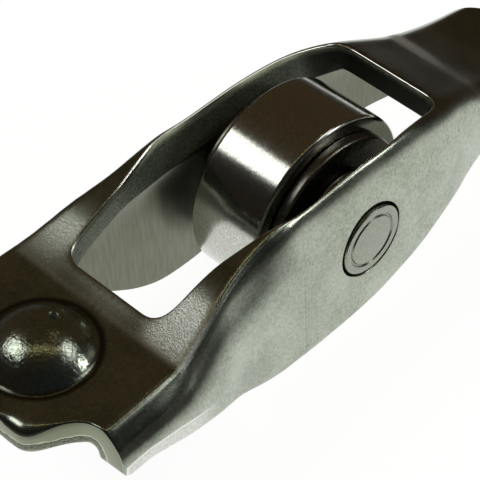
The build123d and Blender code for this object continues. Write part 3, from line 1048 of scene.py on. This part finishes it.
def arm_skin_material():
    """Satin stamped steel with the coarse speckle of the drawn corners, and painted shade and
    painted highlights in its colour.
    """
    material, tree, shader = new_steel("stamped_arm_skin")
    # the light drawn speckle, thinned on the far side as painted shade
    zone = attribute(tree, "drawn_zone_with_far_shade")
    inner = attribute(tree, "cut_depth")
    # painted highlight on the roof crease and the fold at the pivot end
    painted_crease_highlight = attribute(tree, "painted_crease_highlight")
    grain = place_group(tree, STEEL_GRAIN, Fine=7000.0, Cloud=260.0, Height=1.0)
    coarse = place_group(tree, COARSE_GRAIN, Size=6200.0, Zone=zone)
    peeled = place_group(tree, COARSE_GRAIN, Size=3300.0, Zone=attribute(tree, "dome_peel"))
    lines = place_group(tree, BRUSHED, Across=6500.0, Along=420.0)
    marks = place_group(tree, DIE_MARKS, Width=MARK_WIDTH)
    band, border = foot_band_masks(tree)
    colour = colour_ramp(tree, tone_of_skin(tree, grain), SKIN_STOPS)
    # each mask mixes in a finish, a painted shade or a painted highlight
    for mask, finish in (
        (zone, colour_ramp(tree, coarse["Speckle"], DRAWN_STOPS)),
        (inner, colour_ramp(tree, lines["Tone"], INNER_STOPS)),
        (band, colour_ramp(tree, grain["Mottle"], FOOT_STOPS)),
        (border, BORDER_BRIGHT),
        # painted shade on the roof towards the valve end
        (math_node(tree, "MULTIPLY", attribute(tree, "painted_roof_shade"), 0.45), PAINTED_ROOF_SHADE_BROWN),
        # painted highlight along the window's rounded edge
        (attribute(tree, "painted_rim_highlight"), PAINTED_RIM_HIGHLIGHT_BRIGHT),
        (math_node(tree, "MULTIPLY", marks["Height"], -0.24), MARK_DARK),
        # painted shade in the groove round the dome's foot
        (attribute(tree, "painted_groove_shade"), PAINTED_GROOVE_SHADE_DARK),
        # painted shade on the cuts and under the bridge
        (attribute(tree, "painted_shade"), PAINTED_SHADE_BLACK),
        # painted highlight on the roof crease and the fold at the pivot end, also rougher there
        (painted_crease_highlight, PAINTED_CREASE_HIGHLIGHT_BRIGHT),
    ):
        colour = colour_mix(tree, mask, colour, finish)
    rough = value_range(tree, grain["Cloud"], 0.3, 0.7, 0.16, 0.21)
    for mask, more in ((zone, 0.26), (inner, 0.16), (band, 0.18), (painted_crease_highlight, 0.34)):
        rough = math_node(tree, "MULTIPLY_ADD", mask, more, rough)
    brushed = math_node(tree, "MULTIPLY", lines["Height"], inner)
    height = math_node(tree, "MULTIPLY", grain["Height"], 0.004)
    for part, share in (
        (coarse["Height"], 0.040), (peeled["Height"], 0.030), (brushed, 0.008),
        (marks["Height"], 0.045),
    ):
        height = math_node(tree, "MULTIPLY_ADD", part, share, height)
    fill_inputs(tree, shader, {
        "Base Color": colour, "Roughness": rough, "Normal": bump_node(tree, height, MM),
    })
    return material


def sheared_edge_material():
    """Cut face of the sheet: burnished near the outer face, torn below, bright at the burr,
    blackened where painted shade is set.
    """
    material, tree, shader = new_steel("sheared_edge")
    depth = attribute(tree, "cut_depth")
    shade = attribute(tree, "painted_shade")
    coords = object_coords(tree)
    wander = noise_node(tree, coords, 900.0, 4.0, 0.6)
    torn = noise_node(tree, coords, 5200.0, 3.0, 0.7)
    edge = math_node(tree, "MULTIPLY_ADD", math_node(tree, "SUBTRACT", wander, 0.5), 0.30, depth)
    # where painted shade is set, the cut also takes the torn look
    shaded = value_range(tree, shade, 0.10, 0.30, 0.0, 1.0)
    clean = math_node(tree, "SUBTRACT", 1.0, shaded)
    in_torn = value_range(tree, edge, 0.68, 0.73, 0.0, 1.0)
    in_torn = math_node(tree, "MAXIMUM", in_torn, shaded)
    specks = value_range(tree, torn, 0.38, 0.47, 0.70, 0.0)
    for share in (
        in_torn,
        math_node(tree, "MULTIPLY_ADD", clean, 0.7, 0.3),
        value_range(tree, edge, 0.90, 0.96, 1.0, 0.0),
    ):
        specks = math_node(tree, "MULTIPLY", specks, share)
    colour = colour_mix(tree, clean, colour_ramp(tree, torn, TORN_STOPS),
                        colour_ramp(tree, edge, CUT_LAYERS))
    colour = colour_mix(tree, specks, colour, TORN_BLACK)
    # painted shade blackens the cut
    colour = colour_mix(tree, shade, colour, PAINTED_SHADE_BLACK)
    roughness_of_tear = math_node(tree, "MULTIPLY_ADD", in_torn, 0.9, 0.12)
    height = math_node(tree, "MULTIPLY", torn, roughness_of_tear)
    fill_inputs(tree, shader, {
        "Base Color": colour,
        "Roughness": value_range(tree, in_torn, 0.0, 1.0, 0.36, 0.50),
        "Normal": bump_node(tree, height, 0.10 * MM),
    })
    return material


def ground_material(name, colour, roughness):
    """Ground or turned steel with a fine grain."""
    material, tree, shader = new_steel(name)
    lines = noise_node(tree, object_coords(tree), 2600.0, 3.0, 0.6)
    grain = place_group(tree, STEEL_GRAIN, Fine=6500.0, Cloud=900.0, Height=1.0)
    low, high = (tuple(share * c for c in colour) for share in (0.72, 1.18))
    height = math_node(tree, "MULTIPLY_ADD", grain["Height"], 0.5, lines)
    fill_inputs(tree, shader, {
        "Base Color": colour_ramp(tree, grain["Mottle"], [(0.3, low), (0.7, high)]),
        "Roughness": value_range(tree, lines, 0.3, 0.7, roughness * 0.85, roughness * 1.2),
        "Normal": bump_node(tree, height, 0.003 * MM),
    })
    return material


ARM_SKIN = arm_skin_material()
SHEARED_EDGE = sheared_edge_material()
ROLLER_RIM = ground_material("ground_roller", (0.535, 0.550, 0.490), 0.14)
PIN_STEEL = ground_material("turned_pin", (0.325, 0.350, 0.288), 0.30)
WASHER_STEEL = ground_material("pressed_washer", (0.20, 0.19, 0.16), 0.28)
NEEDLE_STEEL = ground_material("needle_steel", (0.50, 0.50, 0.46), 0.16)

# ---------------------------------------------------------------- the pieces

# where the arm's finishes, painted shade and painted highlights begin and end, in millimetres
SKIN_DEPTH = 0.02
UPPER_HALF = 0.5
DRAWN_STARTS = (-22.1, -21.4)
DRAWN_ENDS = (-19.5, -14.5)
DRAWN_CORNERS = (3.4, 6.0)
DRAWN_MIDDLE_SHARE = 0.25
DRAWN_PAST_FOLD = (0.0, 0.35)
# the drawn speckle is thinned on the far side: painted shade there
DRAWN_FAR_SIDE = (2.0, 5.0)
FAR_SIDE_PAINTED_SHADE = 0.62
PEEL_ENDS = (3.9, 4.5)
# painted shade in the groove round the dome's foot, as distances from the dome's middle
GROOVE_RISE = (4.20, 4.45)
GROOVE_FALL = (4.76, 5.00)
# painted highlight across the roof crease, stronger towards the far side
ROOF_HIGHLIGHT_X, ROOF_HIGHLIGHT_SLANT, ROOF_HIGHLIGHT_WIDTH = 16.9, 0.05, 0.60
ROOF_HIGHLIGHT_RISE = (-2.5, 4.0)
ROOF_HIGHLIGHT_HALF_LENGTH = 6.0
# painted highlight along the fold at the pivot end
FOLD_LINE_X, FOLD_LINE_WIDTH, FOLD_LINE_SHARE = -21.9, 0.28, 0.45
FOLD_LINE_HALF_LENGTH = 8.6
WALL_FROM = 8.0
NO_BAND = -2.0
BAND_PAINT_FADE = (-23.0, -18.5)
# painted shade on the roof: where it starts along the arm and where it stops past the fold
ROOF_SHADE_STARTS = (6.0, 12.0)
ROOF_SHADE_PAST_FOLD = (0.0, 2.0)


def line_across(away, width):
    """A soft line: 1 where away is 0, fading over that width."""
    return np.exp(-(away / width) ** 2)


def arm_finishes_and_painted_light(points, depth):
    """How much of each finish, painted shade and painted highlight every point of the arm's mesh
    carries.
    """
    x, y, z = points.T
    across = np.abs(y)
    past_fold = across - arch(x, "outer")[1]
    skin = depth < SKIN_DEPTH
    upper = depth < UPPER_HALF
    from_dome = np.hypot(x - DOME_X, y)
    corners = DRAWN_MIDDLE_SHARE + (1.0 - DRAWN_MIDDLE_SHARE) * ramp(across, *DRAWN_CORNERS)
    drawn = corners * ramp(x, *DRAWN_STARTS) * (1.0 - ramp(x, *DRAWN_ENDS))
    drawn = drawn * (1.0 - ramp(past_fold, *DRAWN_PAST_FOLD))
    # painted shade: less of the light drawn speckle on the far side
    drawn = drawn * (1.0 - FAR_SIDE_PAINTED_SHADE * ramp(y, *DRAWN_FAR_SIDE)) * upper
    # painted shade in the groove round the dome's foot
    groove = ramp(from_dome, *GROOVE_RISE) * (1.0 - ramp(from_dome, *GROOVE_FALL))
    # painted highlight across the roof crease, stronger towards the far side
    roof_highlight_line = line_across(x - ROOF_HIGHLIGHT_X - ROOF_HIGHLIGHT_SLANT * y, ROOF_HIGHLIGHT_WIDTH)
    roof_highlight_line = roof_highlight_line * (0.25 + 0.9 * ramp(y, *ROOF_HIGHLIGHT_RISE)) * (across < ROOF_HIGHLIGHT_HALF_LENGTH)
    # painted highlight along the fold at the pivot end
    fold_line = FOLD_LINE_SHARE * line_across(x - FOLD_LINE_X, FOLD_LINE_WIDTH)
    fold_line = fold_line * (across < FOLD_LINE_HALF_LENGTH)
    # painted shade on the roof towards the valve end
    roof = ramp(x, *ROOF_SHADE_STARTS) * (1.0 - ramp(past_fold, *ROOF_SHADE_PAST_FOLD))
    return {
        "drawn_zone_with_far_shade": drawn,
        "dome_peel": skin * (1.0 - ramp(from_dome, *PEEL_ENDS)),
        "painted_groove_shade": skin * groove,
        "painted_crease_highlight": skin * np.where(x > 0.0, roof_highlight_line, fold_line),
        "foot_below": np.where(skin & (across > WALL_FROM), foot_band(x, z)[1], NO_BAND),
        "foot_share": 1.0 - ramp(x, *BAND_PAINT_FADE),
        "painted_roof_shade": roof * upper,
    }


arm_points, arm_faces, arm_kinds, (arm_depth, arm_shade, arm_rim) = arm_mesh()
arm = make_object("arm_stamping", arm_points, arm_faces, [ARM_SKIN, SHEARED_EDGE], arm_kinds)
point_value(arm, "cut_depth", arm_depth)
# painted shade on the cuts and under the bridge, and the painted highlight on the window rim
point_value(arm, "painted_shade", arm_shade)
point_value(arm, "painted_rim_highlight", arm_rim)
for mask_name, mask_values in arm_finishes_and_painted_light(arm_points, arm_depth).items():
    point_value(arm, mask_name, mask_values)
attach(arm, "arm")
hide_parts("arm_body")

ROLLER_SEGMENTS = 160
PIN_SEGMENTS = 128
WASHER_SEGMENTS = 128

roller = turned("cam_roller_ring", rounded_profile([
    (-ROLLER_HALF_WIDTH, RACE_RADIUS, BORE_EDGE),
    (-ROLLER_HALF_WIDTH, ROLLER_RADIUS, ROLLER_EDGE),
    (ROLLER_HALF_WIDTH, ROLLER_RADIUS, ROLLER_EDGE),
    (ROLLER_HALF_WIDTH, RACE_RADIUS, BORE_EDGE),
]), ROLLER_SEGMENTS, ROLLER_RIM)
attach(roller, "roller")
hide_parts("cam_roller")

# the staked end of the pin from its middle outwards: depth, radius, rounding
STAKED_END = [
    (0.0, 0.0, 0.0), (0.0, 2.2, 0.03), (0.18, 2.3, 0.05), (0.18, 2.42, 0.05),
    (0.0, 2.52, 0.05), (0.0, PIN_RADIUS, 0.12),
]
near_end = [(depth - PIN_HALF_LENGTH, radius, edge) for depth, radius, edge in STAKED_END]
far_end = [(PIN_HALF_LENGTH - depth, radius, edge) for depth, radius, edge in STAKED_END[::-1]]
pin = turned("staked_pin", rounded_profile(near_end + far_end), PIN_SEGMENTS, PIN_STEEL)
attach(pin, "arm")
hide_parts("roller_pin")

for side, name in ((-1.0, "washer_near"), (1.0, "washer_far")):
    corners = [
        (side * WASHER_INNER_FACE, PIN_RADIUS, 0.05),
        (side * WASHER_INNER_FACE, WASHER_RADIUS, 0.18),
        (side * WASHER_OUTER_FACE, WASHER_RADIUS, 0.22),
        (side * WASHER_OUTER_FACE, WASHER_HUB_RADIUS, 0.25),
        (side * WASHER_HUB_FACE, WASHER_HUB_RADIUS, 0.25),
        (side * WASHER_HUB_FACE, PIN_RADIUS, 0.05),
    ]
    washer_profile = rounded_profile(corners if side > 0 else corners[::-1])
    washer = turned(name + "_ring", washer_profile, WASHER_SEGMENTS, WASHER_STEEL)
    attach(washer, "arm")
    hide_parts(name)


def needle_ring_tree():
    """Geometry nodes: a ring of needle rollers round the pin axis."""
    tree = bpy.data.node_groups.new("needle_ring", "GeometryNodeTree")
    face = tree.interface
    geometry = "NodeSocketGeometry"
    face.new_socket(name="Geometry", in_out="INPUT", socket_type=geometry)
    face.new_socket(name="Needles", in_out="INPUT", socket_type="NodeSocketInt")
    for label in ("Pitch radius", "Needle radius", "Length", "End chamfer"):
        face.new_socket(name=label, in_out="INPUT", socket_type=FLOAT)
    face.new_socket(name="Steel", in_out="INPUT", socket_type="NodeSocketMaterial")
    face.new_socket(name="Geometry", in_out="OUTPUT", socket_type=geometry)
    given, out = tree.nodes.new("NodeGroupInput").outputs, tree.nodes.new("NodeGroupOutput")
    radius, chamfer = given["Needle radius"], given["End chamfer"]
    both_ends = math_node(tree, "MULTIPLY", chamfer, 2.0)
    bar = add_node(tree, "GeometryNodeMeshCylinder", {
        "Vertices": NEEDLE_SIDES, "Radius": radius,
        "Depth": math_node(tree, "SUBTRACT", given["Length"], both_ends),
    }).outputs
    caps = add_node(tree, "FunctionNodeBooleanMath", {0: bar["Top"], 1: bar["Bottom"]})
    caps.operation = "OR"
    push = add_node(tree, "GeometryNodeExtrudeMesh", {
        "Mesh": bar["Mesh"], "Selection": caps.outputs[0], "Offset Scale": chamfer,
    }).outputs
    left = math_node(tree, "SUBTRACT", radius, chamfer)
    pinch = add_node(tree, "GeometryNodeScaleElements", {
        "Geometry": push["Mesh"], "Selection": push["Top"],
        "Scale": math_node(tree, "DIVIDE", left, radius),
    }).outputs
    lay = add_node(tree, "GeometryNodeTransform", {
        "Geometry": pinch["Geometry"], "Rotation": (math.pi / 2, 0.0, 0.0),
    }).outputs
    circle = add_node(tree, "GeometryNodeMeshCircle", {
        "Vertices": given["Needles"], "Radius": given["Pitch radius"],
    }).outputs
    stand = add_node(tree, "GeometryNodeTransform", {
        "Geometry": circle["Mesh"], "Rotation": (-math.pi / 2, 0.0, 0.0),
    }).outputs
    spread = add_node(tree, "GeometryNodeInstanceOnPoints", {
        "Points": stand["Geometry"], "Instance": lay["Geometry"],
    }).outputs
    real = add_node(tree, "GeometryNodeRealizeInstances", {"Geometry": spread["Instances"]}).outputs
    flat = add_node(tree, "GeometryNodeSetShadeSmooth", {
        "Geometry": real["Geometry"], "Shade Smooth": False,
    }).outputs
    paint = add_node(tree, "GeometryNodeSetMaterial", {
        "Geometry": flat["Geometry"], "Material": given["Steel"],
    }).outputs
    fill_inputs(tree, out, {"Geometry": paint["Geometry"]})
    return tree


def made_by(tree, name, values):
    """A plain mesh object from a geometry tree, its inputs set by socket identifier."""
    holder = bpy.data.objects.new(name + "_maker", bpy.data.meshes.new(name + "_seed"))
    scene.collection.objects.link(holder)
    modifier = holder.modifiers.new("ring", "NODES")
    modifier.node_group = tree
    for item in tree.interface.items_tree:
        if item.in_out == "INPUT" and item.name in values:
            modifier[item.identifier] = values[item.name]
    depsgraph = bpy.context.evaluated_depsgraph_get()
    mesh = bpy.data.meshes.new_from_object(holder.evaluated_get(depsgraph))
    mesh.name = name
    bpy.data.objects.remove(holder)
    item = bpy.data.objects.new(name, mesh)
    scene.collection.objects.link(item)
    return item


needles = made_by(needle_ring_tree(), "needle_ring", {
    "Needles": NEEDLE_COUNT,
    "Pitch radius": PITCH_RADIUS * MM,
    "Needle radius": NEEDLE_RADIUS * MM,
    "Length": 2 * NEEDLE_HALF_LENGTH * MM,
    "End chamfer": NEEDLE_EDGE * MM,
    "Steel": NEEDLE_STEEL,
})
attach(needles, "needle_set")
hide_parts(*["needle_%02d" % (k + 1) for k in range(NEEDLE_COUNT)])

# ---------------------------------------------------------------- floor, light, camera

WHITE = (1.0, 1.0, 1.0)
FLOOR_DROP = 0.05 * MM
FLOOR_HALF_SIZE = 3.0
FLOOR_GREY = 0.28
FLOOR_GLOW = 0.94
GLOW_HALF_LENGTH = 33 * MM
GLOW_FADE = (15 * MM, 28 * MM)
GLOW_WIDENS_BY = 2.7
GLOW_WIDENS_OVER = 20 * MM


def floor_material():
    """Pale floor, white where it is seen; metal mirrors the white only close to the object."""
    material = bpy.data.materials.new("pale_floor")
    material.use_nodes = True
    tree = material.node_tree
    path = tree.nodes.new("ShaderNodeLightPath").outputs
    seen = math_node(tree, "MAXIMUM", path["Is Camera Ray"], path["Is Glossy Ray"])
    seen = math_node(tree, "MAXIMUM", seen, path["Is Transmission Ray"])
    axes = axes_of(tree, object_coords(tree))
    past_end = math_node(tree, "ABSOLUTE", axes["X"])
    past_end = math_node(tree, "SUBTRACT", past_end, GLOW_HALF_LENGTH)
    past_end = math_node(tree, "MAXIMUM", past_end, 0.0)
    squares = [math_node(tree, "POWER", length, 2.0) for length in (past_end, axes["Y"])]
    away = math_node(tree, "SQRT", math_node(tree, "ADD", *squares))
    widening = value_range(tree, axes["X"], 0.0, GLOW_WIDENS_OVER, 1.0, GLOW_WIDENS_BY)
    away = math_node(tree, "DIVIDE", away, widening)
    glow = value_range(tree, away, *GLOW_FADE, 1.0, 0.0)
    glow = math_node(tree, "MAXIMUM", glow, path["Is Camera Ray"])
    seen = math_node(tree, "MULTIPLY", seen, glow)
    fill_inputs(tree, tree.nodes["Principled BSDF"], {
        "Base Color": (FLOOR_GREY, FLOOR_GREY, FLOOR_GREY, 1.0),
        "Roughness": 1.0,
        "Specular IOR Level": 0.0,
        "Emission Color": (*WHITE, 1.0),
        "Emission Strength": math_node(tree, "MULTIPLY", seen, FLOOR_GLOW),
    })
    return material


floor_z = cad_low.z - FLOOR_DROP
floor_mesh = bpy.data.meshes.new("floor")
floor_mesh.from_pydata(
    [(x * FLOOR_HALF_SIZE, y * FLOOR_HALF_SIZE, floor_z)
     for x, y in ((-1, -1), (1, -1), (1, 1), (-1, 1))],
    [], [(0, 1, 2, 3)],
)
floor = bpy.data.objects.new("floor", floor_mesh)
floor_mesh.materials.append(floor_material())
scene.collection.objects.link(floor)

ROOM_WARM = (0.055, 0.038, 0.021)
ROOM_PIVOT_END = (0.022, 0.018, 0.015)
ROOM_NEAR_SIDE = (0.018, 0.019, 0.019)


def room():
    """A dim warm room above the floor, white where the camera looks past the floor."""
    world = bpy.data.worlds.new("studio_room")
    world.use_nodes = True
    scene.world = world
    tree = world.node_tree
    path = tree.nodes.new("ShaderNodeLightPath").outputs
    axes = axes_of(tree, tree.nodes.new("ShaderNodeTexCoord").outputs["Generated"])
    toward_near_side = value_range(tree, axes["Y"], -0.15, -0.60, 0.0, 1.0)
    toward_pivot = value_range(tree, axes["X"], -0.15, -0.65, 0.0, 1.0)
    walls = colour_mix(tree, toward_pivot, ROOM_WARM, ROOM_PIVOT_END)
    walls = colour_mix(tree, toward_near_side, walls, ROOM_NEAR_SIDE)
    seen = colour_mix(tree, path["Is Camera Ray"], walls, WHITE)
    fill_inputs(tree, tree.nodes["Background"], {"Color": seen})


LAMP_DISTANCE = 0.60

# name, direction from the object, vector along the length, length, width, brightness, tint
LAMPS = [
    ("back_left_box", (-0.44, 0.50, 0.745), (0.255, 0.865, -0.43), 0.36, 0.22, 2.4, WHITE),
    ("front_right_box", (0.62, -0.75, 0.24), (1.0, 1.0, 0.0), 0.11, 0.11, 8.0, WHITE),
    ("high_right_box", (0.54, -0.46, 0.71), (1.0, 0.0, 0.0), 0.18, 0.18, 1.9, WHITE),
    ("shoulder_glow", (0.48, -0.63, 0.61), (1.0, 1.0, 0.0), 0.16, 0.17, 1.0, WHITE),
    ("overhead_tube", (-0.01, -0.16, 0.985), (0.73, -0.63, -0.07), 0.60, 0.018, 2.2,
     (1.0, 0.86, 0.50)),
    ("edge_tube", (0.46, -0.02, 0.885), (0.0, 1.0, 0.0), 0.06, 0.03, 1.6, (1.0, 0.82, 0.50)),
]


def lamp(name, direction, along, length, width, brightness, tint):
    """A soft box that looks at the object from a direction, its length laid along a vector."""
    data = bpy.data.lights.new(name, "AREA")
    data.shape = "RECTANGLE"
    data.size = length
    data.size_y = width
    data.energy = brightness * math.pi * length * width
    data.color = tint
    item = bpy.data.objects.new(name, data)
    aim = Vector(direction).normalized()
    side = Vector(along)
    side = (side - side.dot(aim) * aim).normalized()
    item.location = aim * LAMP_DISTANCE
    item.rotation_euler = Matrix((side, aim.cross(side), aim)).transposed().to_euler()
    scene.collection.objects.link(item)


room()
for lamp_values in LAMPS:
    lamp(*lamp_values)

CAMERA_PLACE = (-84.765, -82.232, 125.679)
CAMERA_RIGHT = (0.69442, -0.71859, -0.03736)
CAMERA_UP = (0.55285, 0.49958, 0.66691)
CAMERA_BACK = (-0.46058, -0.48378, 0.74420)
camera_data = bpy.data.cameras.new("camera")
camera_data.sensor_width = 36.0
camera_data.lens = 160.104
camera_data.clip_start = 0.01
camera_data.clip_end = 20.0
camera = bpy.data.objects.new("camera", camera_data)
turn = Matrix((CAMERA_RIGHT, CAMERA_UP, CAMERA_BACK)).transposed().to_4x4()
camera.matrix_world = Matrix.Translation(Vector(CAMERA_PLACE) * MM) @ turn
scene.collection.objects.link(camera)
scene.camera = camera
scene.view_settings.view_transform = "Standard"
